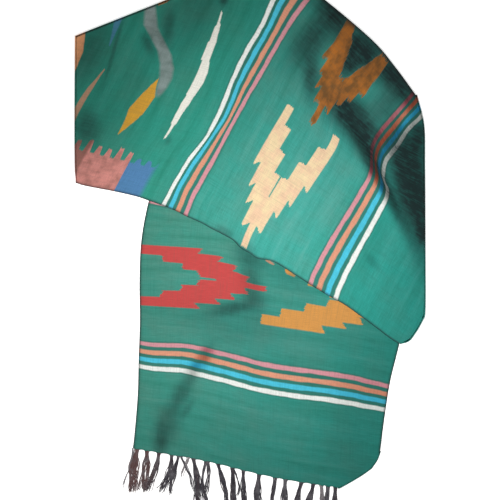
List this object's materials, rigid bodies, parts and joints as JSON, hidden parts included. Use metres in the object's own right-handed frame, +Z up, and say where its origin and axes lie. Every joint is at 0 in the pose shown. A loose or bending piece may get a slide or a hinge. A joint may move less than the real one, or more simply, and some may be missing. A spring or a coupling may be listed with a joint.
{
  "type": "folded cotton shawl",
  "caption": "Woven cotton shawl with a fringe, folded over on itself at a slant and laid flat.",
  "frame": {"origin": "centre of the bounding box in plan, on the surface that the shawl lies on", "axes": "+Z up out of the cloth; the fringed end points to -Y; +X to the right when the fringe is nearest the viewer"},
  "size_m": [0.8448, 1.3876, 0.0253],
  "materials": {
    "green_cotton": "matt plain weave with stripes and stepped motifs",
    "inner_cotton": "matt plain weave, in shade",
    "charcoal_yarn": "loosely twisted cotton yarn"
  },
  "bodies": {
    "root": {"top_layer": "green_cotton", "fringed_end": "green_cotton", "hidden_layers": "inner_cotton", "fringe": "charcoal_yarn"}
  },
  "joints": []
}
